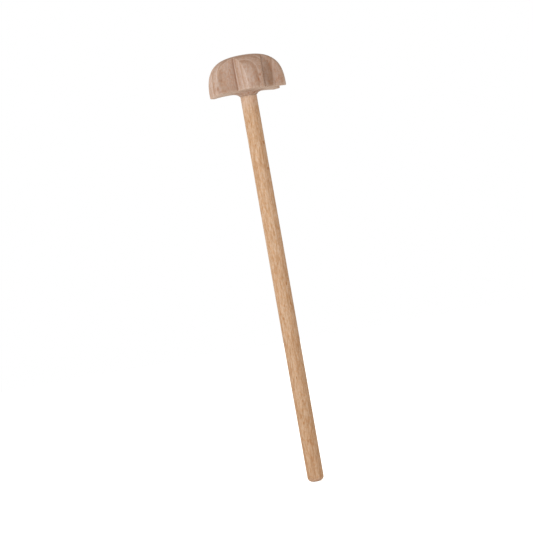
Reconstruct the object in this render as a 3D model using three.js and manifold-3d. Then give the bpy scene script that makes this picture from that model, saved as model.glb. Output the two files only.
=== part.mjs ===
// A wooden stirring whisk: a domed, star-cut beech head glued on a round dowel handle.
//
// Lengths are millimetres. The handle stands on its rounded lower end with the centre of
// that end at the origin, and runs up +Z into the socket in the underside of the head.
// Angles around the axis are counted from -Y, growing towards +X.

import * as THREE from 'three';
import { mergeVertices } from 'three/addons/utils/BufferGeometryUtils.js';
import Module from 'manifold-3d';

const wasm = await Module();
wasm.setup();

// ---------------------------------------------------------------- driving dimensions

const overallLength = 306; // lower end of the handle to the top of the dome

const handleEndRadius = 5.85; // just above the rounded lower end
const handleMidRadius = 6.0; // fullest, half way up
const handleNeckRadius = 5.9; // where it meets the head
const endRoundHeight = 3.2; // height of the rounded lower end
const endFlatRadius = 2.0; // the flat left in the middle of that end

const headRadius = 28; // axis to the tips of the star's arms
const headHeight = 28.8; // hub face to the top of the dome
const domeExponent = 2.75; // 2 would be an ellipse, more is squarer
const domeFlatRadius = 2.5; // the flat left in the middle of the dome's top
const hubDrop = 2.4; // how far the hub face hangs below the arms' tips
const hubRadius = 6.45; // rim of the hub face
const coveRadius = 19; // where the hub's cove runs out into the arms' underside
const undersideRise = 0.8; // how much higher the underside is there than at the tips
const tipRound = 0.8; // rounding along the arms' lower outer edge

const notchHalfAngle = 52.5; // degrees, each wall of a V notch to its middle line
const notches = [
  { angle: -24, valleyRadius: 15.9 },
  { angle: 48.7, valleyRadius: 17.2 },
  { angle: 102.6, valleyRadius: 18.5 },
  { angle: 158.3, valleyRadius: 18.1 },
  { angle: 217.3, valleyRadius: 16.2 },
  { angle: 278.9, valleyRadius: 18 },
];

const tenonRadius = 4.25; // turned down on the handle's upper end
const tenonLength = 18;
const tenonChamfer = 0.8;
const glueLine = 0.2; // clearance round the tenon and under the hub
const socketAirSpace = 1; // room for spare glue above the tenon

const roundSegments = 64; // facets around the axis
const coveSteps = 7;
const undersideSteps = 4;
const domeSteps = 16;
const endSteps = 5;
const swellSteps = 4;

// ---------------------------------------------------------------- derived heights

const domeTop = overallLength;
const hubFace = overallLength - headHeight;
const tipLevel = hubFace + hubDrop;
const shoulder = hubFace - glueLine;
const tenonTop = shoulder + tenonLength;
const socketRadius = tenonRadius + glueLine;
const socketTop = tenonTop + glueLine + socketAirSpace;

// ---------------------------------------------------------------- helpers

// Turns a profile of [radius, height] points round +Z. The points run from the bottom
// of the axis, up the outside, to the top of the axis.
function turned(profile) {
  const points = profile.map(([radius, height]) => new THREE.Vector2(radius, height));
  const geometry = new THREE.LatheGeometry(points, roundSegments);
  geometry.rotateX(Math.PI / 2);
  return geometry;
}

// Makes a closed mesh ready for cutting: shared corners merged, slivers on the axis dropped.
function toSolid(geometry) {
  const bare = geometry.clone();
  bare.deleteAttribute('normal');
  bare.deleteAttribute('uv');
  const merged = mergeVertices(bare);
  const index = Array.from(merged.index.array);
  const triVerts = [];
  for (let i = 0; i < index.length; i += 3) {
    const [a, b, c] = index.slice(i, i + 3);
    if (a !== b && b !== c && c !== a) {
      triVerts.push(a, b, c);
    }
  }
  return new wasm.Manifold(new wasm.Mesh({
    numProp: 3,
    vertProperties: Float32Array.from(merged.attributes.position.array),
    triVerts: Uint32Array.from(triVerts),
  }));
}

function toGeometry(solid) {
  const mesh = solid.getMesh();
  const geometry = new THREE.BufferGeometry();
  geometry.setAttribute('position', new THREE.BufferAttribute(mesh.vertProperties, 3));
  geometry.setIndex(new THREE.BufferAttribute(mesh.triVerts, 1));
  geometry.computeVertexNormals();
  return geometry;
}

// ---------------------------------------------------------------- handle

// Half a cosine wave from one radius to the next, so that the swell has no corner.
function eased(from, to, share) {
  return from + (to - from) * (1 - Math.cos(Math.PI * share)) / 2;
}

function handleProfile() {
  const profile = [[0, 0]];
  for (let step = 0; step <= endSteps; step += 1) {
    const turn = (Math.PI / 2) * (step / endSteps);
    profile.push([
      endFlatRadius + (handleEndRadius - endFlatRadius) * Math.sin(turn),
      endRoundHeight * (1 - Math.cos(turn)),
    ]);
  }
  const middle = shoulder / 2;
  for (let step = 1; step <= swellSteps; step += 1) {
    const share = step / swellSteps;
    const height = THREE.MathUtils.lerp(endRoundHeight, middle, share);
    profile.push([eased(handleEndRadius, handleMidRadius, share), height]);
  }
  for (let step = 1; step <= swellSteps; step += 1) {
    const share = step / swellSteps;
    const height = THREE.MathUtils.lerp(middle, shoulder, share);
    profile.push([eased(handleMidRadius, handleNeckRadius, share), height]);
  }
  profile.push([tenonRadius, shoulder]);
  profile.push([tenonRadius, tenonTop - tenonChamfer]);
  profile.push([tenonRadius - tenonChamfer, tenonTop]);
  profile.push([0, tenonTop]);
  return profile;
}

// ---------------------------------------------------------------- head

// The socket, the hub face, the cove, the underside of the arms and the dome.
function headProfile() {
  const profile = [
    [0, socketTop],
    [socketRadius, socketTop],
    [socketRadius, hubFace],
  ];
  for (let step = 0; step <= coveSteps; step += 1) {
    const turn = (Math.PI / 2) * (step / coveSteps);
    profile.push([
      coveRadius - (coveRadius - hubRadius) * Math.cos(turn),
      hubFace + (hubDrop + undersideRise) * Math.sin(turn),
    ]);
  }
  for (let step = 1; step <= undersideSteps; step += 1) {
    const share = step / undersideSteps;
    profile.push([
      THREE.MathUtils.lerp(coveRadius, headRadius - tipRound, share),
      tipLevel + undersideRise * (1 - share ** 2),
    ]);
  }
  profile.push([headRadius - tipRound * (1 - Math.SQRT1_2), tipLevel + tipRound * (1 - Math.SQRT1_2)]);
  const flatTurn = Math.acos((domeFlatRadius / headRadius) ** (domeExponent / 2));
  const domeSide = tipLevel + tipRound;
  const fullHeight = (domeTop - domeSide) / Math.sin(flatTurn) ** (2 / domeExponent);
  for (let step = 0; step <= domeSteps; step += 1) {
    const turn = flatTurn * (step / domeSteps);
    profile.push([
      headRadius * Math.cos(turn) ** (2 / domeExponent),
      domeSide + fullHeight * Math.sin(turn) ** (2 / domeExponent),
    ]);
  }
  profile.push([0, domeTop]);
  return profile;
}

// A three-sided bar standing in the star's gap: its edge is the notch's valley.
function notchBar({ angle, valleyRadius }) {
  const reach = headRadius;
  const spread = reach * Math.tan(THREE.MathUtils.degToRad(notchHalfAngle));
  const section = new THREE.Shape([
    new THREE.Vector2(0, -valleyRadius),
    new THREE.Vector2(spread, -valleyRadius - reach),
    new THREE.Vector2(-spread, -valleyRadius - reach),
  ]);
  const bar = new THREE.ExtrudeGeometry(section, { depth: headHeight * 2, bevelEnabled: false });
  bar.translate(0, 0, hubFace - headHeight / 2);
  bar.rotateZ(THREE.MathUtils.degToRad(angle));
  return bar;
}

function headGeometry() {
  let star = toSolid(turned(headProfile()));
  for (const notch of notches) {
    star = star.subtract(toSolid(notchBar(notch)));
  }
  return toGeometry(star);
}

// ---------------------------------------------------------------- assembly

const handleBeech = new THREE.MeshStandardMaterial({ color: 0xcca88a, roughness: 0.7, metalness: 0 });
const headBeech = new THREE.MeshStandardMaterial({ color: 0xbb9a80, roughness: 0.75, metalness: 0 });

const handle = new THREE.Mesh(turned(handleProfile()), handleBeech);
handle.name = 'handle';

const head = new THREE.Mesh(headGeometry(), headBeech);
head.name = 'star_head';

const whisk = new THREE.Group();
whisk.add(handle, head);

export default whisk;
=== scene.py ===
"""Finished surfaces, beech and studio for a star-headed wooden stirring whisk."""

import math

import bpy
import numpy as np
from mathutils import Matrix, Vector


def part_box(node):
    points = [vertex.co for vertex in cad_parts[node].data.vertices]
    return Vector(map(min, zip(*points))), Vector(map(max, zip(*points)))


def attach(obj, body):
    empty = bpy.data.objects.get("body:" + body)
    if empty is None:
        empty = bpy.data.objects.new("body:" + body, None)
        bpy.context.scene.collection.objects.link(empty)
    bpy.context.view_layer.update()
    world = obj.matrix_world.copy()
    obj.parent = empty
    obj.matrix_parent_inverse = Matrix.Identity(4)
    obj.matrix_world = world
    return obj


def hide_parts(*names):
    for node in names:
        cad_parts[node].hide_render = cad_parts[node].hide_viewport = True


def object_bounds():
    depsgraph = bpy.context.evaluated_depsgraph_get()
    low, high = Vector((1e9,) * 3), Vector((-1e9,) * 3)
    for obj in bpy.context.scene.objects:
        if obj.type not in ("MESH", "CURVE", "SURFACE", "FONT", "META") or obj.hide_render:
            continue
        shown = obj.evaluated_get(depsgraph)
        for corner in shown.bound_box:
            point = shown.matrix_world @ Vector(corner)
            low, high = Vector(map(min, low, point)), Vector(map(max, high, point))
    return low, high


bl_info = {
    "name": "Beech stirring whisk",
    "version": (1, 0, 0),
    "blender": (4, 5, 0),
    "location": "View3D > Sidebar > Whisk",
    "description": "Turned dowel handle and star-cut dome head in bare beech, with a studio",
    "category": "Object",
}

MM = 0.001

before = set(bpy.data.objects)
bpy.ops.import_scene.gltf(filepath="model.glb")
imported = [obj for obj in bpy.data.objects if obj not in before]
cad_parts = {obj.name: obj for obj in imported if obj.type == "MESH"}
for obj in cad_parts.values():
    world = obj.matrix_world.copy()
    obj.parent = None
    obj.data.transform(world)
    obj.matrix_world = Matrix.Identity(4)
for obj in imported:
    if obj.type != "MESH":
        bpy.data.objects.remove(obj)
CAD_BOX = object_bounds()
HANDLE_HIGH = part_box("handle")[1]
HEAD_LOW, HEAD_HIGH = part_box("star_head")

SKIN = 0.02 * MM  # how far the turned handle stays inside its CAD solid
SANDING = 0.04 * MM  # depth of the unevenness that sanding leaves on the dowel
GLUE_GAP = 0.1 * MM  # the hub face to the handle's shoulder
SOCKET_AIR = 1.2 * MM  # the end of the tenon to the end of the socket
TENON_CHAMFER = 0.8 * MM
SHARP_CORNER = math.radians(32)


def widest_radius(node):
    """How far a node's outermost corner is from the Z axis."""
    return max(math.hypot(v.co.x, v.co.y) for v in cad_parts[node].data.vertices)


# ------------------------------------------------------------------ settings


class WhiskHandleSettings(bpy.types.PropertyGroup):
    """Sizes and colours of the dowel handle"""

    mid_radius: bpy.props.FloatProperty(
        name="Middle radius",
        description="Radius half way up, where the dowel is fullest",
        default=widest_radius("handle"),
        subtype="DISTANCE",
        unit="LENGTH",
    )
    end_radius: bpy.props.FloatProperty(
        name="End radius",
        description="Radius just above the rounded lower end",
        default=5.85 * MM,
        subtype="DISTANCE",
        unit="LENGTH",
    )
    neck_radius: bpy.props.FloatProperty(
        name="Neck radius",
        description="Radius where the handle meets the head",
        default=5.9 * MM,
        subtype="DISTANCE",
        unit="LENGTH",
    )
    end_round: bpy.props.FloatProperty(
        name="End rounding",
        description="Height of the rounded lower end",
        default=3.2 * MM,
        subtype="DISTANCE",
        unit="LENGTH",
    )
    end_flat: bpy.props.FloatProperty(
        name="End flat radius",
        description="Radius of the flat left in the middle of the lower end",
        default=2.0 * MM,
        subtype="DISTANCE",
        unit="LENGTH",
    )
    tenon_radius: bpy.props.FloatProperty(
        name="Tenon radius",
        description="Radius of the turned tenon inside the head",
        default=4.25 * MM,
        subtype="DISTANCE",
        unit="LENGTH",
    )
    pale: bpy.props.FloatVectorProperty(
        name="Pale wood",
        description="Colour of the lightest fibres",
        default=(0.61, 0.43, 0.305),
        size=3,
        min=0.0,
        max=1.0,
        subtype="COLOR",
    )
    deep: bpy.props.FloatVectorProperty(
        name="Deep wood",
        description="Colour of the darkest fibres",
        default=(0.435, 0.25, 0.13),
        size=3,
        min=0.0,
        max=1.0,
        subtype="COLOR",
    )
    fleck: bpy.props.FloatVectorProperty(
        name="Ray flecks",
        description="Colour of the short flecks of ray tissue",
        default=(0.36, 0.15, 0.045),
        size=3,
        min=0.0,
        max=1.0,
        subtype="COLOR",
    )
    # Painted light: the colour laid over the shade at the top of the handle and round its lower end.
    painted_light_and_wear: bpy.props.FloatVectorProperty(
        name="Painted light",
        description="Colour near the head and round the lower end, painted over the shade there",
        default=(0.7, 0.52, 0.42),
        size=3,
        min=0.0,
        max=1.0,
        subtype="COLOR",
    )


class WhiskHeadSettings(bpy.types.PropertyGroup):
    """Sizes and colours of the star head"""

    radius: bpy.props.FloatProperty(
        name="Arm reach",
        description="Axis to the tips of the arms",
        default=widest_radius("star_head") - 2 * SKIN,
        subtype="DISTANCE",
        unit="LENGTH",
    )
    hub_drop: bpy.props.FloatProperty(
        name="Hub drop",
        description="How far the hub face hangs below the tips of the arms",
        default=2.4 * MM,
        subtype="DISTANCE",
        unit="LENGTH",
    )
    hub_radius: bpy.props.FloatProperty(
        name="Hub radius",
        description="Rim of the hub face, round the handle",
        default=6.45 * MM,
        subtype="DISTANCE",
        unit="LENGTH",
    )
    cove_radius: bpy.props.FloatProperty(
        name="Cove radius",
        description="Where the hub's cove runs out into the underside of the arms",
        default=19.0 * MM,
        subtype="DISTANCE",
        unit="LENGTH",
    )
    underside_rise: bpy.props.FloatProperty(
        name="Underside rise",
        description="How much higher the underside is there than at the tips",
        default=0.8 * MM,
        subtype="DISTANCE",
        unit="LENGTH",
    )
    socket_radius: bpy.props.FloatProperty(
        name="Socket radius",
        description="Radius of the blind socket for the handle's tenon",
        default=4.4 * MM,
        subtype="DISTANCE",
        unit="LENGTH",
    )
    notch_half_angle: bpy.props.FloatProperty(
        name="Notch half angle",
        description="Each wall of a notch to the notch's middle line",
        default=math.radians(52.5),
        subtype="ANGLE",
        unit="ROTATION",
    )
    ridge_round: bpy.props.FloatProperty(
        name="Ridge rounding",
        description="Width over which the dome and the notch walls are rubbed together",
        default=0.9 * MM,
        subtype="DISTANCE",
        unit="LENGTH",
    )
    pale: bpy.props.FloatVectorProperty(
        name="Pale wood",
        description="Colour of the lightest fibres",
        default=(0.565, 0.435, 0.37),
        size=3,
        min=0.0,
        max=1.0,
        subtype="COLOR",
    )
    deep: bpy.props.FloatVectorProperty(
        name="Deep wood",
        description="Colour of the darkest fibres",
        default=(0.405, 0.275, 0.212),
        size=3,
        min=0.0,
        max=1.0,
        subtype="COLOR",
    )
    fleck: bpy.props.FloatVectorProperty(
        name="Ray flecks",
        description="Colour of the short flecks of ray tissue",
        default=(0.3, 0.13, 0.055),
        size=3,
        min=0.0,
        max=1.0,
        subtype="COLOR",
    )
    # Also painted light: this colour is laid on the underside and the hub's rim over their shade.
    painted_light_and_wear: bpy.props.FloatVectorProperty(
        name="Rubbed edges",
        description="Colour of the rims where sanding has broken the edge",
        default=(0.6, 0.47, 0.37),
        size=3,
        min=0.0,
        max=1.0,
        subtype="COLOR",
    )


class WhiskStageSettings(bpy.types.PropertyGroup):
    """Camera, floor and lights"""

    distance: bpy.props.FloatProperty(
        name="Camera distance",
        description="Camera to the handle's axis",
        default=1.65,
        subtype="DISTANCE",
        unit="LENGTH",
    )
    view_height: bpy.props.FloatProperty(
        name="Camera height",
        description="Height of the camera above the lower end of the handle",
        default=155.8 * MM,
        subtype="DISTANCE",
        unit="LENGTH",
    )
    side_step: bpy.props.FloatProperty(
        name="Camera side step",
        description="How far the camera stands to the left of the handle",
        default=8.4 * MM,
        subtype="DISTANCE",
        unit="LENGTH",
    )
    roll: bpy.props.FloatProperty(
        name="Camera roll",
        description="How far the camera leans, so that the whisk leans the other way",
        default=math.radians(9.99),
        subtype="ANGLE",
        unit="ROTATION",
    )
    field: bpy.props.FloatProperty(
        name="Field width",
        description="Width of the picture at the handle's axis",
        default=377.4 * MM,
        subtype="DISTANCE",
        unit="LENGTH",
    )
    key_power: bpy.props.FloatProperty(
        name="Key power",
        description="Power of the small lamp in front on the left, in watts",
        default=5.0,
        subtype="POWER",
        unit="POWER",
    )
    left_power: bpy.props.FloatProperty(
        name="Left panel power",
        description="Power of the broad panel on the left, in watts",
        default=3.2,
        subtype="POWER",
        unit="POWER",
    )
    sky: bpy.props.FloatProperty(
        name="Room light",
        description="How brightly the white room around lights the whisk",
        default=0.79,
        min=0.0,
    )
    floor_glow: bpy.props.FloatProperty(
        name="Floor glow",
        description="How brightly the pale floor shines towards the camera",
        default=0.65,
        min=0.0,
    )
    floor_bounce: bpy.props.FloatProperty(
        name="Floor bounce",
        description="Light that the floor gives the whisk from beneath, as a lit table does",
        default=0.12,
        min=0.0,
    )


# ------------------------------------------------------------------ meshes

NOTCHES = (  # (degrees from -Y towards +X, radius of the valley)
    (-24, 15.9 * MM),
    (48.7, 17.2 * MM),
    (102.6, 18.5 * MM),
    (158.3, 18.1 * MM),
    (217.3, 16.2 * MM),
    (278.9, 18.0 * MM),
)
DOME_EXPONENT = 2.75
DOME_FOOT = 0.7 * MM  # how far the dome's widest ring is above the tips of the arms
HUB_RIM = (  # (inwards from the rim, up from the hub face, how pale: rubbed wood and painted light on the hub's rim)
    (0.4 * MM, 0.02 * MM, 0.3),
    (0.15 * MM, 0.1 * MM, 0.4),
    (0.0, 0.35 * MM, 0.3),
)
MOUTH_BREAK = 0.3 * MM  # the broken corner at the mouth of the socket
NECK_BREAK = 0.12 * MM  # the broken corner where the handle meets its shoulder
TENON_FILLET = 0.2 * MM  # the corner at the foot of the tenon

# Marks in the wood: (degrees round, height, half width, half length, strength), millimetres.
HEAD_MARKS = (
    (2.0, 278.5, 0.6, 0.4, 0.95),
    (37.0, 278.5, 0.6, 0.4, 0.9),
    (22.2, 288.6, 0.6, 0.9, 0.9),
    (18.6, 285.4, 0.5, 1.3, 0.85),
    (20.0, 283.4, 0.5, 0.9, 0.7),
    (3.9, 286.3, 0.6, 1.3, 0.3),
    (5.6, 283.9, 0.8, 1.5, 0.25),
    (7.6, 281.8, 1.0, 1.5, 0.25),
    (-49.0, 284.0, 0.7, 1.6, 0.5),
    (-47.0, 281.4, 0.8, 1.0, 0.5),
    (-53.0, 283.0, 1.5, 2.4, 0.22),
    (-57.0, 281.8, 1.3, 1.4, 0.25),
    (-45.0, 289.6, 0.45, 0.9, 0.5),
    (-43.0, 282.0, 0.5, 0.7, 0.4),
    (65.0, 291.5, 0.5, 0.7, 0.35),
    (68.0, 285.0, 0.5, 0.9, 0.35),
    (60.5, 296.0, 0.5, 0.6, 0.4),
)
HANDLE_MARKS = (
    (14.0, 268.0, 0.6, 5.0, 0.35),
    (18.0, 254.0, 0.5, 4.0, 0.3),
)


def smooth_step(low, high, value):
    share = np.clip((value - low) / (high - low), 0, 1)
    return share * share * (3 - 2 * share)


def smooth_min(a, b, width):
    """The lesser of a and b, with the corner between them rounded over that width."""
    overlap = np.maximum(width - np.abs(a - b), 0) / width
    return np.minimum(a, b) - overlap * overlap * width / 4


def ring_mesh(name, angles, radius, height):
    """A closed mesh from rows of rings: radius and height have one row for each ring and
    one column for each angle. The first and last rows are drawn in to the axis."""
    rows, columns = radius.shape
    x = radius * np.sin(angles)
    y = -radius * np.cos(angles)
    points = np.stack([x, y, height], axis=-1).reshape(-1, 3)
    first_pole = len(points)
    last_pole = first_pole + 1
    poles = [(0, 0, height[0].mean()), (0, 0, height[-1].mean())]
    points = np.concatenate([points, poles])
    faces = []
    for column in range(columns):
        after = (column + 1) % columns
        faces.append((first_pole, after, column))
        for row in range(rows - 1):
            low, high = row * columns, (row + 1) * columns
            faces.append((low + column, low + after, high + after, high + column))
        top = (rows - 1) * columns
        faces.append((last_pole, top + column, top + after))
    mesh = bpy.data.meshes.new(name)
    mesh.from_pydata(points.tolist(), [], faces)
    mesh.shade_smooth()
    mesh.set_sharp_from_angle(angle=SHARP_CORNER)
    mesh.update()
    return mesh


def place(name, mesh, material, node):
    """Links a finished piece, makes it ride on the whisk and stand for its CAD node."""
    piece = bpy.data.objects.new(name, mesh)
    bpy.context.scene.collection.objects.link(piece)
    mesh.materials.append(material)
    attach(piece, "root")
    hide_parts(node)
    return piece


def vertex_mask(mesh, name, values):
    """Stores one number for each vertex, with zeros for the two poles at the end."""
    attribute = mesh.attributes.new(name, "FLOAT", "POINT")
    attribute.data.foreach_set("value", np.append(values.ravel(), (0.0, 0.0)))


def marked(marks, angles, radius, height):
    """Soft dark spots: each is (degrees round, height, half width, half length, strength)."""
    total = np.zeros(radius.shape)
    for degrees, level, wide, long, strength in marks:
        turn = (angles - math.radians(degrees) + math.pi) % (2 * math.pi) - math.pi
        across = radius * turn / (wide * MM)
        along = (height - level * MM) / (long * MM)
        total = np.maximum(total, strength * np.exp(-(across ** 2) - along ** 2))
    return total


# ------------------------------------------------------------------ beech

# Cells of each texture to a millimetre: two ways across the grain, then along it.
WANDER_GRID = (0.06, 0.06, 0.012)
FINE_FIBRE_GRID = (7.0, 7.0, 0.28)
COARSE_FIBRE_GRID = (1.0, 1.0, 0.14)
PORE_GRID = (3.2, 3.2, 0.75)
PATCH_GRID = (0.09, 0.09, 0.022)
SPECKLE_GRID = (0.95, 0.95, 0.55)
RUB_GRID = (1.4, 1.4, 0.5)
FLECK_DEPTH = 5.0  # how far a ray runs towards the heart, in millimetres
USUAL_REACH = 70.0  # turns an angle round the heart into millimetres along a ring


class Nodes:
    """Adds and links shader nodes in one tree, from left to right."""

    def __init__(self, tree):
        self.tree = tree
        self.count = 0

    def add(self, kind, inputs=(), **settings):
        node = self.tree.nodes.new(kind)
        node.location = (self.count * 180, 0)
        self.count += 1
        for key, value in settings.items():
            setattr(node, key, value)
        for socket, value in dict(inputs).items():
            target = node.inputs[socket]
            if isinstance(value, bpy.types.NodeSocket):
                self.tree.links.new(value, target)
            else:
                target.default_value = value
        return node

    def math(self, operation, a, b=0.0, clamp=False):
        node = self.add("ShaderNodeMath", {0: a, 1: b}, operation=operation, use_clamp=clamp)
        return node.outputs[0]

    def vector(self, operation, a, b):
        return self.add("ShaderNodeVectorMath", {0: a, 1: b}, operation=operation).outputs["Vector"]

    def split(self, vector):
        return self.add("ShaderNodeSeparateXYZ", {0: vector}).outputs

    def join(self, x, y, z):
        return self.add("ShaderNodeCombineXYZ", {0: x, 1: y, 2: z}).outputs[0]

    def noise(self, vector, scale, detail=2.0, roughness=0.5):
        values = {"Vector": vector, "Scale": scale, "Detail": detail, "Roughness": roughness}
        return self.add("ShaderNodeTexNoise", values).outputs["Fac"]

    def ramp(self, value, low, high, to_low=0.0, to_high=1.0):
        values = {0: value, 1: low, 2: high, 3: to_low, 4: to_high}
        node = self.add("ShaderNodeMapRange", values, interpolation_type="SMOOTHSTEP")
        return node.outputs[0]

    def mix(self, share, a, b, blend="MIX"):
        """Lays colour b over colour a. A Mix node's colours go in at 6 and 7 and out at 2."""
        values = {0: share, 6: a, 7: b}
        return self.add("ShaderNodeMix", values, data_type="RGBA", blend_type=blend).outputs[2]


def new_group(name, inputs, outputs):
    """An empty shader node group with named sockets, its inputs and its output node."""
    tree = bpy.data.node_groups.new(name, "ShaderNodeTree")
    for socket, kind, default in inputs:
        made = tree.interface.new_socket(name=socket, in_out="INPUT", socket_type=kind)
        if default is not None:
            made.default_value = default
    for socket, kind in outputs:
        tree.interface.new_socket(name=socket, in_out="OUTPUT", socket_type=kind)
    build = Nodes(tree)
    sources = build.add("NodeGroupInput").outputs
    return tree, build, sources


def beech_group():
    """Rings, fibres, ray flecks and pores of beech, cut from a log whose heart lies off the
    piece. Works in millimetres, with the grain along Z."""
    inputs = [
        ("Point", "NodeSocketVector", None),
        ("Heart", "NodeSocketVector", (40.0, 60.0, 0.0)),
        ("Lean", "NodeSocketVector", (0.0, 0.0, 0.0)),
        ("Ring Width", "NodeSocketFloat", 3.0),
        ("Ring Shift", "NodeSocketFloat", 0.0),
        ("Wander", "NodeSocketFloat", 6.0),
        ("Fleck Width", "NodeSocketFloat", 0.8),
        ("Fleck Length", "NodeSocketFloat", 4.0),
    ]
    outputs = [
        ("Rings", "NodeSocketFloat"),
        ("Ring Lines", "NodeSocketFloat"),
        ("Fibres", "NodeSocketFloat"),
        ("Flecks", "NodeSocketFloat"),
        ("Pores", "NodeSocketFloat"),
        ("Patches", "NodeSocketFloat"),
        ("Mottle", "NodeSocketFloat"),
    ]
    tree, n, source = new_group("Beech Grain", inputs, outputs)
    point = source["Point"]
    height = n.split(point)[2]
    leaned = n.vector("SUBTRACT", point, n.vector("MULTIPLY", source["Lean"], n.join(height, height, 0.0)))
    slow = n.vector("MULTIPLY", leaned, WANDER_GRID)
    wander = n.add("ShaderNodeTexNoise", {"Vector": slow, "Scale": 1.0, "Detail": 1.0}).outputs["Color"]
    strength = n.join(source["Wander"], source["Wander"], 0.0)
    drift = n.vector("MULTIPLY", n.vector("SUBTRACT", wander, (0.5, 0.5, 0.5)), strength)
    moved = n.vector("ADD", leaned, drift)
    from_heart = n.split(n.vector("SUBTRACT", moved, source["Heart"]))
    across = n.math("POWER", from_heart[0], 2.0)
    deep = n.math("POWER", from_heart[1], 2.0)
    reach = n.math("SQRT", n.math("ADD", across, deep))
    along_ring = n.math("MULTIPLY", n.math("ARCTAN2", from_heart[1], from_heart[0]), USUAL_REACH)
    uneven = n.noise(n.join(n.math("MULTIPLY", reach, 0.12), 0.0, 0.0), 1.0, 1.0)
    phase = n.math("ADD", n.math("DIVIDE", reach, source["Ring Width"]), n.math("MULTIPLY", uneven, 0.35))
    share = n.math("FRACT", n.math("ADD", phase, source["Ring Shift"]))
    rise = n.ramp(share, 0.2, 0.93)
    fall = n.ramp(share, 0.93, 1.0, 1.0, 0.0)
    rings = n.math("MULTIPLY", n.math("POWER", rise, 2.0), fall)
    ring_lines = n.math("MULTIPLY", n.ramp(share, 0.0, 0.05), n.ramp(share, 0.08, 0.22, 1.0, 0.0))

    fine = n.vector("MULTIPLY", leaned, FINE_FIBRE_GRID)
    coarse = n.vector("MULTIPLY", leaned, COARSE_FIBRE_GRID)
    fibres = n.math(
        "ADD",
        n.math("MULTIPLY", n.noise(fine, 1.0, 3.0, 0.6), 0.4),
        n.math("MULTIPLY", n.noise(coarse, 1.0, 3.0, 0.6), 0.6),
    )

    ray_point = n.join(
        n.math("DIVIDE", along_ring, source["Fleck Width"]),
        n.math("DIVIDE", reach, FLECK_DEPTH),
        n.math("DIVIDE", height, source["Fleck Length"]),
    )
    cells = n.add("ShaderNodeTexVoronoi", {"Vector": ray_point, "Scale": 1.0, "Randomness": 1.0})
    chance = n.split(cells.outputs["Color"])
    size = n.ramp(chance[0], 0.35, 1.0, 0.02, 0.36)
    depth = n.math("SUBTRACT", size, cells.outputs["Distance"])
    flecks = n.math("MULTIPLY", n.ramp(depth, 0.0, 0.12), n.ramp(chance[1], 0.0, 1.0, 0.35, 1.0))

    pore_point = n.vector("MULTIPLY", leaned, PORE_GRID)
    holes = n.add("ShaderNodeTexVoronoi", {"Vector": pore_point, "Scale": 1.0, "Randomness": 1.0})
    pore_size = n.ramp(n.split(holes.outputs["Color"])[0], 0.4, 1.0, 0.0, 0.2)
    pores = n.ramp(n.math("SUBTRACT", pore_size, holes.outputs["Distance"]), 0.0, 0.08)

    patches = n.noise(n.vector("MULTIPLY", leaned, PATCH_GRID), 1.0, 2.0)
    speckle = n.noise(n.vector("MULTIPLY", leaned, SPECKLE_GRID), 1.0, 3.0, 0.7)
    made = {
        "Rings": rings,
        "Ring Lines": ring_lines,
        "Fibres": fibres,
        "Flecks": flecks,
        "Pores": pores,
        "Patches": patches,
        "Mottle": n.ramp(speckle, 0.42, 0.64),
    }
    n.add("NodeGroupOutput", made)
    return tree


def wear_and_light_group():
    """Turns a piece's mask of rubbed wear and painted light into broken-up patches of paler wood."""
    inputs = [("Point", "NodeSocketVector", None), ("Wear And Painted Light", "NodeSocketFloat", 0.0)]
    tree, n, source = new_group("Rubbed Wear And Painted Light", inputs, [("Worn And Lit", "NodeSocketFloat")])
    grain = n.noise(n.vector("MULTIPLY", source["Point"], RUB_GRID), 1.0, 3.0, 0.65)
    broken = n.ramp(grain, 0.3, 0.62, 0.25, 1.0)
    n.add("NodeGroupOutput", {"Worn And Lit": n.math("MULTIPLY", source["Wear And Painted Light"], broken, clamp=True)})
    return tree


def shared_group(name, maker):
    """The named node group, made the first time that a material asks for it."""
    return bpy.data.node_groups.get(name) or maker()


def opaque(colour):
    return (*colour, 1.0)


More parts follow.
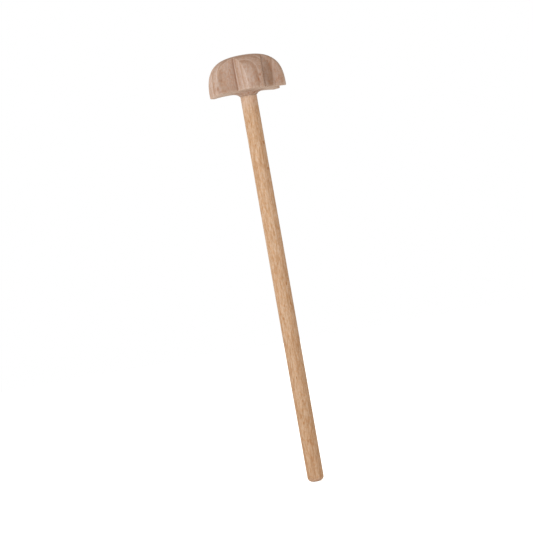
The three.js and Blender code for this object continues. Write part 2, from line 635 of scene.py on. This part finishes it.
def beech_material(name, look, grain, strengths):
    """Bare sanded beech. grain holds the Beech Grain group's own values, and strengths says
    how much each of its masks shows. The mesh's own masks are wear_and_painted_light (rubbed
    edges and painted light, paler), grime_and_painted_shade (grime and painted shade, darker) and mark
    (small stains)."""
    material = bpy.data.materials.new(name)
    material.use_nodes = True
    material.node_tree.nodes.clear()
    n = Nodes(material.node_tree)
    place_on = n.add("ShaderNodeTexCoord").outputs["Object"]
    point = n.vector("MULTIPLY", place_on, (1000.0, 1000.0, 1000.0))
    group = shared_group("Beech Grain", beech_group)
    made = n.add("ShaderNodeGroup", {"Point": point, **grain}, node_tree=group).outputs

    spread = strengths["fibre_spread"]
    fibre_share = n.ramp(made["Fibres"], 0.5 - spread, 0.5 + spread)
    colour = n.mix(fibre_share, opaque(look.deep), opaque(look.pale))
    mottle = n.math("MULTIPLY", made["Mottle"], strengths["mottle"])
    colour = n.mix(mottle, colour, opaque(strengths["mottle_tint"]), "MULTIPLY")
    patch = n.math("MULTIPLY", n.ramp(made["Patches"], 0.35, 0.65), strengths["patches"])
    colour = n.mix(patch, colour, opaque(strengths["patch_tint"]), "MULTIPLY")
    ring = n.math("MULTIPLY", made["Rings"], strengths["rings"])
    colour = n.mix(ring, colour, opaque(strengths["ring_tint"]), "MULTIPLY")
    line = n.math("MULTIPLY", made["Ring Lines"], strengths["ring_lines"])
    colour = n.mix(line, colour, opaque(look.pale))
    fleck = n.math("MULTIPLY", made["Flecks"], strengths["flecks"])
    colour = n.mix(fleck, colour, opaque(look.fleck))
    pore = n.math("MULTIPLY", made["Pores"], strengths["pores"])
    colour = n.mix(pore, colour, opaque(strengths["pore_tint"]), "MULTIPLY")
    # Darker by the grime_and_painted_shade mask: painted shade on the head, grime low on the handle.
    grime_and_painted_shade = n.add("ShaderNodeAttribute", attribute_name="grime_and_painted_shade").outputs["Fac"]
    colour = n.mix(grime_and_painted_shade, colour, opaque(strengths["grime_and_shade_tint"]), "MULTIPLY")
    mark = n.add("ShaderNodeAttribute", attribute_name="mark").outputs["Fac"]
    colour = n.mix(mark, colour, opaque(strengths["mark_colour"]))
    # Paler by the wear_and_painted_light mask: rubbed wood, and painted light where shade falls.
    wear_and_painted_light = n.add("ShaderNodeAttribute", attribute_name="wear_and_painted_light").outputs["Fac"]
    group = shared_group("Rubbed Wear And Painted Light", wear_and_light_group)
    wear_and_light = n.add("ShaderNodeGroup", {"Point": point, "Wear And Painted Light": wear_and_painted_light}, node_tree=group)
    wear_and_light_share = n.math("MULTIPLY", wear_and_light.outputs["Worn And Lit"], strengths["painted_light_and_wear"])
    colour = n.mix(wear_and_light_share, colour, opaque(look.painted_light_and_wear))

    roughness = n.ramp(made["Fibres"], 0.2, 0.8, 0.62, 0.8)
    relief = n.math("MULTIPLY", made["Fibres"], 0.5)
    relief = n.math("SUBTRACT", relief, n.math("MULTIPLY", made["Pores"], 0.9))
    relief = n.math("SUBTRACT", relief, n.math("MULTIPLY", made["Flecks"], 0.3))
    bump = n.add("ShaderNodeBump", {"Height": relief, "Strength": 1.0, "Distance": strengths["relief"]})
    values = {"Base Color": colour, "Roughness": roughness, "Normal": bump.outputs[0]}
    shader = n.add("ShaderNodeBsdfPrincipled", values)
    shader.inputs["Specular IOR Level"].default_value = 0.3
    n.add("ShaderNodeOutputMaterial", {0: shader.outputs[0]})
    return material


# ------------------------------------------------------------------ handle


def handle_rows(look):
    """The handle's outline from the middle of its lower end to the middle of its tenon."""
    shoulder = HEAD_LOW.z - GLUE_GAP
    outline = [(look.end_flat * share, 0.0) for share in (0.35, 0.7, 1.0)]
    for turn in np.linspace(0, math.pi / 2, 14)[1:]:
        reach = look.end_radius - SKIN - look.end_flat
        outline.append((look.end_flat + reach * math.sin(turn), look.end_round * (1 - math.cos(turn))))
    middle = shoulder / 2
    for height in np.linspace(look.end_round, shoulder - NECK_BREAK, 150)[1:]:
        below = height < middle
        near, far = (look.end_radius, look.end_round) if below else (look.neck_radius, shoulder)
        share = (height - far) / (middle - far)
        swell = (1 - math.cos(math.pi * share)) / 2
        outline.append((near + (look.mid_radius - near) * swell - SKIN, height))
    neck = outline[-1][0]
    outline.append((neck - NECK_BREAK / 3, shoulder - NECK_BREAK / 3))
    outline.append((neck - NECK_BREAK, shoulder))
    outline.append((look.tenon_radius + TENON_FILLET, shoulder))
    outline.append((look.tenon_radius, shoulder + TENON_FILLET))
    tenon_top = HANDLE_HIGH.z
    outline.append((look.tenon_radius, tenon_top - TENON_CHAMFER))
    outline.append((look.tenon_radius - TENON_CHAMFER, tenon_top))
    outline.append((look.tenon_radius / 2, tenon_top))
    return np.array(outline)


class WHISK_OT_handle(bpy.types.Operator):
    """Turns the dowel handle, rounded at its lower end and with its tenon at the top"""

    bl_idname = "whisk.handle"
    bl_label = "Make Handle"

    def execute(self, context):
        look = context.scene.whisk_handle
        outline = handle_rows(look)
        angles = np.linspace(0, 2 * math.pi, 96, endpoint=False)
        height = np.repeat(outline[:, 1:2], len(angles), axis=1)
        radius = np.repeat(outline[:, 0:1], len(angles), axis=1)
        sanded = 0.5 + 0.3 * np.sin(2 * angles + 31 * height) + 0.2 * np.sin(3 * angles - 47 * height + 1)
        on_side = (height > look.end_round / 2) & (radius > look.tenon_radius + 0.5 * MM)
        radius = radius - np.where(on_side, SANDING * sanded, 0.0)
        mesh = ring_mesh("handle_turned", angles, radius, height)
        held = smooth_step(190 * MM, 40 * MM, height) * (0.75 + 0.25 * np.sin(angles + 2.6))
        vertex_mask(mesh, "grime_and_painted_shade", held)
        # Painted light: paler wood over the shade under the head and over the floor's shadow round the
        # lower end.
        by_head = 0.6 * smooth_step(262 * MM, 276 * MM, height) * (height < HEAD_LOW.z)
        by_end = 0.35 * smooth_step(3.5 * MM, 1.5 * MM, height)
        vertex_mask(mesh, "wear_and_painted_light", by_head + by_end)
        vertex_mask(mesh, "mark", marked(HANDLE_MARKS, angles, radius, height))
        grain = {
            "Heart": (34.0, 75.0, 0.0),
            "Lean": (0.012, -0.006, 0.0),
            "Ring Width": 2.6,
            "Wander": 6.0,
            "Fleck Width": 1.1,
            "Fleck Length": 4.2,
        }
        strengths = {
            "rings": 0.3,
            "ring_tint": (0.82, 0.7, 0.58),
            "ring_lines": 0.2,
            "flecks": 0.95,
            "pores": 0.45,
            "pore_tint": (0.6, 0.45, 0.34),
            "patches": 0.35,
            "patch_tint": (0.9, 0.84, 0.78),
            "fibre_spread": 0.12,
            "mottle": 0.9,
            "mottle_tint": (0.95, 0.8, 0.63),
            "grime_and_shade_tint": (0.88, 0.84, 0.79),
            "mark_colour": (0.36, 0.15, 0.05),
            "painted_light_and_wear": 0.8,
            "relief": 0.06 * MM,
        }
        material = beech_material("Handle Beech", look, grain, strengths)
        place("handle_turned", mesh, material, "handle")
        return {"FINISHED"}


# ------------------------------------------------------------------ star head


def star_reach(look, angles):
    """How far the notch walls let a ray from the axis run at each angle."""
    half = look.notch_half_angle
    reach = np.full(len(angles), 10 * look.radius)
    for degrees, valley in NOTCHES:
        off = np.abs((angles - math.radians(degrees) + math.pi) % (2 * math.pi) - math.pi)
        inside = off < half - 0.02
        wall = valley * math.sin(half) / np.sin(np.where(inside, half - off, 1.0))
        reach = np.where(inside, np.minimum(reach, wall), reach)
    return reach


def star_angles(look):
    """Angles round the head, with one on each valley and each ridge and more near them."""
    half = look.notch_half_angle
    marks = []
    for degrees, valley in NOTCHES:
        middle = math.radians(degrees)
        lean = math.asin(valley * math.sin(half) / look.radius)
        spread = half - lean
        marks += [(middle - spread, "ridge"), (middle, "valley"), (middle + spread, "ridge")]
    marks.sort()
    angles = []
    for index, (start, kind) in enumerate(marks):
        end, next_kind = marks[(index + 1) % len(marks)]
        if end < start:
            end += 2 * math.pi
        steps = 30 if kind != next_kind else 22
        share = np.arange(steps) / steps
        eased = share - 0.75 * np.sin(2 * math.pi * share) / (2 * math.pi)
        angles += list(start + (end - start) * eased)
    return np.array(angles)


def head_rows(look, angles):
    """Radius, height and mask of rubbed wear and painted light of every ring of the head, from
    the socket's end, down its wall, out along the underside, round the rim and up over the dome."""
    hub_face = HEAD_LOW.z
    tip = hub_face + look.hub_drop
    top = HEAD_HIGH.z
    walls = star_reach(look, angles)
    rim = smooth_min(walls, look.radius, look.ridge_round)
    rings, heights, wear_and_light_rows = [], [], []

    def add(radius, height, wear_and_painted_light=0.0):
        rings.append(np.broadcast_to(radius, angles.shape))
        heights.append(np.broadcast_to(height, angles.shape))
        wear_and_light_rows.append(np.broadcast_to(wear_and_painted_light, angles.shape))

    socket_top = HANDLE_HIGH.z + SOCKET_AIR
    add(look.socket_radius / 2, socket_top)
    add(look.socket_radius, socket_top)
    for height in np.linspace(socket_top, hub_face + MOUTH_BREAK, 8)[1:]:
        add(look.socket_radius, height)
    add(look.socket_radius + MOUTH_BREAK, hub_face)
    for inwards, rise, painted_light_and_wear in HUB_RIM:
        add(look.hub_radius - inwards, hub_face + rise, painted_light_and_wear)
    rim_top = hub_face + HUB_RIM[-1][1]

    def underside(radius):
        in_cove = np.clip((look.cove_radius - radius) / (look.cove_radius - look.hub_radius), 0, 1)
        sweep = (look.hub_drop + look.underside_rise) * (1 - np.sqrt(1 - in_cove ** 2))
        share = np.clip((radius - look.cove_radius) / (look.radius - look.cove_radius), 0, 1)
        return tip + look.underside_rise * (1 - share ** 2) - sweep

    bevel = (0.3 + 0.4 * smooth_step(0.72, 0.99, rim / look.radius)) * MM
    inner = rim - bevel
    # The underside gets painted light from below, paler away from the hub.
    for share in np.linspace(0, 1, 31)[1:]:
        radius = look.hub_radius + (inner - look.hub_radius) * share ** 1.8
        height = np.maximum(underside(radius), rim_top)
        add(radius, height, 0.6 * smooth_step(9 * MM, 15 * MM, radius))
    for turn in np.linspace(0, math.pi / 2, 6)[1:]:
        radius = inner + bevel * math.sin(turn)
        add(radius, underside(inner) + bevel * (1 - math.cos(turn)), 0.35)

    start = underside(inner) + bevel
    base = tip + DOME_FOOT
    rise = top - base
    fade_height = 9 * MM
    for share in np.linspace(0, 1, 131)[1:-1]:
        turn = math.pi / 2 * share ** 1.25
        dome_radius = look.radius * math.cos(turn) ** (2 / DOME_EXPONENT)
        dome_height = base + rise * math.sin(turn) ** (2 / DOME_EXPONENT)
        fade = max(0.0, 1 - (dome_height - base) / fade_height) ** 2
        height = dome_height + (start - base) * fade
        lifted = np.clip((height - base) / rise, 0, 1)
        if fade > 0:
            dome_radius = look.radius * (1 - lifted ** DOME_EXPONENT) ** (1 / DOME_EXPONENT)
        radius = smooth_min(walls, dome_radius, look.ridge_round)
        near_ridge = 0.28 * (1 - smooth_step(0.1 * MM, 0.8 * MM, np.abs(walls - dome_radius)))
        near_rim = 0.3 * (1 - smooth_step(0.2 * MM, 1.1 * MM, height - start))
        add(radius, height, np.maximum(near_ridge, near_rim))
    return np.array(rings), np.array(heights), np.array(wear_and_light_rows)


def head_painted_shade(look, angles, radius, height):
    """Painted shade: the notches' corners and the walls that lead to them, the cove round the
    hub, the top of the dome and the right notch's far wall. The front arm's outside is darker too."""
    shade = np.zeros(radius.shape)
    # Painted shade in each notch: dark in its corner, fading out along the wall at its lower angle.
    for degrees, valley in NOTCHES:
        off = (angles - math.radians(degrees) + math.pi) % (2 * math.pi) - math.pi
        from_corner = np.hypot(radius * np.sin(off), radius * np.cos(off) - valley)
        wall = 0.32 * smooth_step(9.0 * MM, 0.0, from_corner)
        corner = 0.6 * smooth_step(1.7 * MM, 0.5 * MM, from_corner)
        on_wall = (off < 0.01) & (off > -look.notch_half_angle)
        shade = np.maximum(shade, np.where(on_wall, wall + corner, 0.0))
    # Painted shade in the cove under the head, round the hub.
    below = height < HEAD_LOW.z + look.hub_drop + look.underside_rise
    shade = np.where(below, 0.3 * smooth_step(14 * MM, 9 * MM, radius), shade)
    # Painted shade on the top of the dome, standing in for less light from above.
    top = 0.45 * smooth_step(HEAD_HIGH.z - 9.0 * MM, HEAD_HIGH.z - 0.5 * MM, height)
    degrees = np.degrees(angles)
    on_dome = smooth_step(0.1 * MM, 0.6 * MM, star_reach(look, angles) - radius)
    streak = 0.3 * on_dome * smooth_step(-32.0, -24.0, degrees) * smooth_step(32.0, 24.0, degrees)
    # Painted shade on the right notch's far wall, where the front arm keeps the light from the left off
    # it.
    side = 0.25 * smooth_step(50.0, 58.0, degrees) * smooth_step(74.0, 70.0, degrees)
    return np.clip(np.maximum(shade, np.maximum(top, streak)) + side, 0, 1)


class WHISK_OT_star_head(bpy.types.Operator):
    """Cuts the domed star head, with its hub, coved underside, notches and rubbed ridges"""

    bl_idname = "whisk.star_head"
    bl_label = "Make Star Head"

    def execute(self, context):
        look = context.scene.whisk_head
        angles = star_angles(look)
        radius, height, wear_and_painted_light = head_rows(look, angles)
        mesh = ring_mesh("star_head_cut", angles, radius, height)
        vertex_mask(mesh, "wear_and_painted_light", wear_and_painted_light)
        vertex_mask(mesh, "grime_and_painted_shade", head_painted_shade(look, angles, radius, height))
        vertex_mask(mesh, "mark", marked(HEAD_MARKS, angles, radius, height))
        grain = {
            "Heart": (0.0, -61.0, 0.0),
            "Lean": (0.0, 0.087, 0.0),
            "Ring Width": 6.0,
            "Ring Shift": 0.45,
            "Wander": 1.5,
            "Fleck Width": 0.9,
            "Fleck Length": 3.0,
        }
        strengths = {
            "rings": 0.75,
            "ring_tint": (0.78, 0.67, 0.56),
            "ring_lines": 0.35,
            "flecks": 0.85,
            "pores": 0.5,
            "pore_tint": (0.6, 0.46, 0.36),
            "patches": 0.4,
            "patch_tint": (0.88, 0.83, 0.79),
            "fibre_spread": 0.24,
            "mottle": 0.8,
            "mottle_tint": (0.94, 0.76, 0.62),
            "grime_and_shade_tint": (0.62, 0.48, 0.39),
            "mark_colour": (0.25, 0.08, 0.02),
            "painted_light_and_wear": 0.7,
            "relief": 0.06 * MM,
        }
        material = beech_material("Head Beech", look, grain, strengths)
        place("star_head_cut", mesh, material, "star_head")
        return {"FINISHED"}


# ------------------------------------------------------------------ stage


def aim(thing, spot, target):
    """Puts a light at a spot and turns it to face a target."""
    thing.location = spot
    thing.rotation_euler = (Vector(target) - Vector(spot)).to_track_quat("-Z", "Y").to_euler()


COOL = (0.88, 1.0, 1.1)
WARM = (1.0, 0.955, 0.875)
LIGHT_DISTANCE = 1.3
KEY_SIZE = 0.12
KEY_FROM = (-27.5, 12)  # degrees round from -Y towards +X, and up from level
PANEL_SIZE = 0.6
PANEL_FROM = (-52, 20)
FLOOR_HALF = 3.0
FLOOR_GAP = 0.2 * MM  # keeps the floor clear of the handle's lower end


def soft_light(name, power, size, spot, target):
    data = bpy.data.lights.new(name, "AREA")
    data.shape = "DISK"
    data.size = size
    data.energy = power
    data.color = COOL
    lamp = bpy.data.objects.new(name, data)
    bpy.context.scene.collection.objects.link(lamp)
    aim(lamp, spot, target)


def around(azimuth, elevation, centre):
    """A light's spot, that many degrees round from -Y towards +X and up from level."""
    turn, lift = math.radians(azimuth), math.radians(elevation)
    level = LIGHT_DISTANCE * math.cos(lift)
    rise = LIGHT_DISTANCE * math.sin(lift)
    return centre + Vector((level * math.sin(turn), -level * math.cos(turn), rise))


def white_room(strength):
    """A world that looks pure white and lights the whisk with the given strength."""
    world = bpy.data.worlds.new("room")
    world.use_nodes = True
    background = world.node_tree.nodes["Background"]
    n = Nodes(world.node_tree)
    seen = n.add("ShaderNodeLightPath").outputs["Is Camera Ray"]
    links = world.node_tree.links
    links.new(n.ramp(seen, 0.0, 1.0, strength, 1.0), background.inputs["Strength"])
    links.new(n.mix(seen, opaque(WARM), (1, 1, 1, 1)), background.inputs["Color"])
    return world


def pale_floor(glow, bounce):
    """A white floor that shines glow at the camera and bounce at the whisk, clear from below."""
    mesh = bpy.data.meshes.new("floor")
    half = FLOOR_HALF
    corners = [(-half, -half, 0), (half, -half, 0), (half, half, 0), (-half, half, 0)]
    mesh.from_pydata(corners, [], [(0, 1, 2, 3)])
    floor = bpy.data.objects.new("floor", mesh)
    floor.location.z = -FLOOR_GAP
    material = bpy.data.materials.new("Pale Floor")
    material.use_nodes = True
    shader = material.node_tree.nodes["Principled BSDF"]
    shader.inputs["Base Color"].default_value = (0.93, 0.93, 0.93, 1)
    shader.inputs["Roughness"].default_value = 1.0
    shader.inputs["Specular IOR Level"].default_value = 0.0
    shader.inputs["Emission Color"].default_value = (1, 1, 1, 1)
    tree = material.node_tree
    n = Nodes(tree)
    seen = n.add("ShaderNodeLightPath").outputs["Is Camera Ray"]
    tree.links.new(n.ramp(seen, 0.0, 1.0, bounce, glow), shader.inputs["Emission Strength"])
    from_below = n.add("ShaderNodeNewGeometry").outputs["Backfacing"]
    clear = n.add("ShaderNodeBsdfTransparent").outputs[0]
    both = n.add("ShaderNodeMixShader", {0: from_below, 1: shader.outputs[0], 2: clear})
    tree.links.new(both.outputs[0], tree.nodes["Material Output"].inputs[0])
    mesh.materials.append(material)
    bpy.context.scene.collection.objects.link(floor)


class WHISK_OT_stage(bpy.types.Operator):
    """Sets the camera, the pale floor, the soft lights and the white room"""

    bl_idname = "whisk.stage"
    bl_label = "Make Stage"

    def execute(self, context):
        look = context.scene.whisk_stage
        scene = context.scene
        data = bpy.data.cameras.new("camera")
        data.sensor_width = 36.0
        data.lens = data.sensor_width * look.distance / look.field
        data.clip_end = 50.0
        camera = bpy.data.objects.new("camera", data)
        scene.collection.objects.link(camera)
        turned = Matrix.Rotation(look.roll, 4, "Y") @ Matrix.Rotation(math.pi / 2, 4, "X")
        stand = Matrix.Translation((-look.side_step, -look.distance, look.view_height))
        camera.matrix_world = stand @ turned
        scene.camera = camera

        centre = (CAD_BOX[0] + CAD_BOX[1]) / 2
        soft_light("key", look.key_power, KEY_SIZE, around(*KEY_FROM, centre), centre)
        soft_light("left panel", look.left_power, PANEL_SIZE, around(*PANEL_FROM, centre), centre)
        scene.world = white_room(look.sky)
        scene.view_settings.view_transform = "Standard"
        pale_floor(look.floor_glow, look.floor_bounce)
        return {"FINISHED"}


class WHISK_PT_tools(bpy.types.Panel):
    """Buttons and settings of the whisk"""

    bl_label = "Stirring Whisk"
    bl_idname = "WHISK_PT_tools"
    bl_space_type = "VIEW_3D"
    bl_region_type = "UI"
    bl_category = "Whisk"

    def draw(self, context):
        layout = self.layout
        scene = context.scene
        for operator, settings in (
            (WHISK_OT_handle, scene.whisk_handle),
            (WHISK_OT_star_head, scene.whisk_head),
            (WHISK_OT_stage, scene.whisk_stage),
        ):
            box = layout.box()
            box.operator(operator.bl_idname)
            for name in settings.bl_rna.properties.keys():
                if name not in ("rna_type", "name"):
                    box.prop(settings, name)


CLASSES = (
    WhiskHandleSettings,
    WhiskHeadSettings,
    WhiskStageSettings,
    WHISK_OT_handle,
    WHISK_OT_star_head,
    WHISK_OT_stage,
    WHISK_PT_tools,
)


def register():
    for cls in CLASSES:
        bpy.utils.register_class(cls)
    bpy.types.Scene.whisk_handle = bpy.props.PointerProperty(type=WhiskHandleSettings)
    bpy.types.Scene.whisk_head = bpy.props.PointerProperty(type=WhiskHeadSettings)
    bpy.types.Scene.whisk_stage = bpy.props.PointerProperty(type=WhiskStageSettings)


def unregister():
    del bpy.types.Scene.whisk_stage
    del bpy.types.Scene.whisk_head
    del bpy.types.Scene.whisk_handle
    for cls in reversed(CLASSES):
        bpy.utils.unregister_class(cls)


def main():
    register()
    bpy.ops.whisk.handle()
    bpy.ops.whisk.star_head()
    bpy.ops.whisk.stage()


if __name__ == "__main__":
    main()
